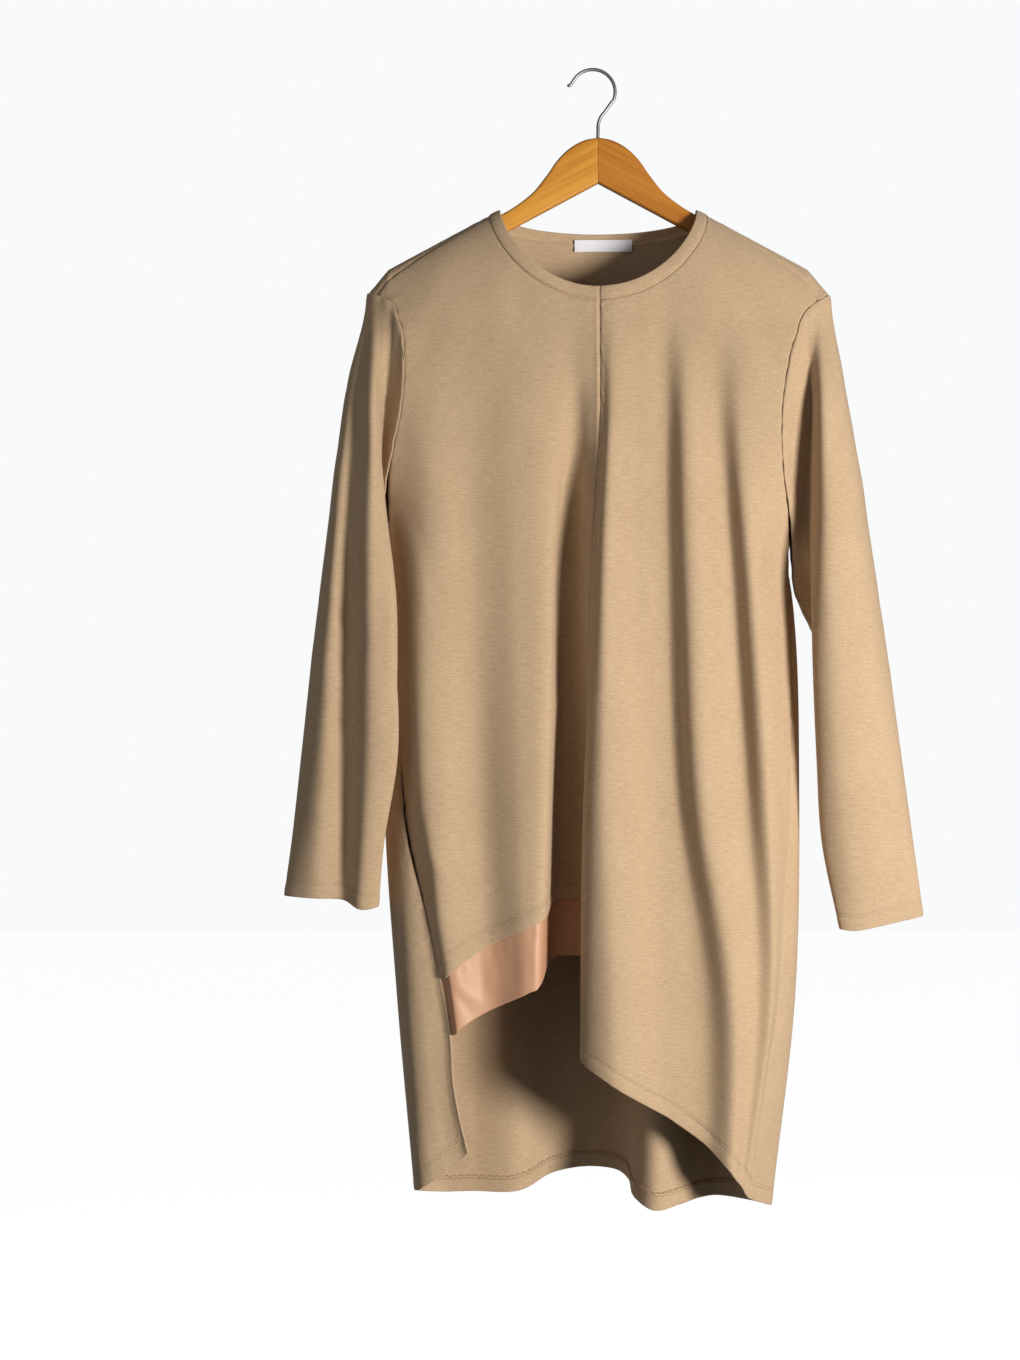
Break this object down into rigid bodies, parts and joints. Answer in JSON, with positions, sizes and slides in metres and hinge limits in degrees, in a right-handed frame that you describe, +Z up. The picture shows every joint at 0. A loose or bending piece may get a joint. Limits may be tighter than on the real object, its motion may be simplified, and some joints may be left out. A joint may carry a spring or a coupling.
{
  "type": "tunic top on hanger",
  "caption": "Long-sleeved jersey tunic, stepped asymmetric front hem, longer back, satin-bound short front, hung flat on a wooden hanger with a wire hook.",
  "frame": {"origin": "inside of the crown of the hanger's hook, where a rail carries it", "axes": "+Z up, towards the rail; +X to the viewer's right, along the hanger; +Y away from the viewer, from the front of the garment to its back"},
  "size_m": [0.5966, 0.1648, 1.0818],
  "materials": {
    "jersey": "matt heavy knit, sand colour, fine heathered courses",
    "satin": "smooth satin with a slight sheen, blush colour",
    "label": "blank woven white tape",
    "wood": "clear varnished warm brown wood",
    "chrome_wire": "polished wire"
  },
  "bodies": {
    "root": {"front_short": "jersey", "front_long": "jersey", "back": "jersey", "sleeve_left": "jersey", "sleeve_right": "jersey", "neckband_short": "jersey", "neckband_long": "jersey", "neckband_back": "jersey", "satin_band": "satin", "neck_label": "label", "hanger_arm_left": "wood", "hanger_arm_right": "wood", "hanger_hook": "chrome_wire"}
  },
  "joints": []
}
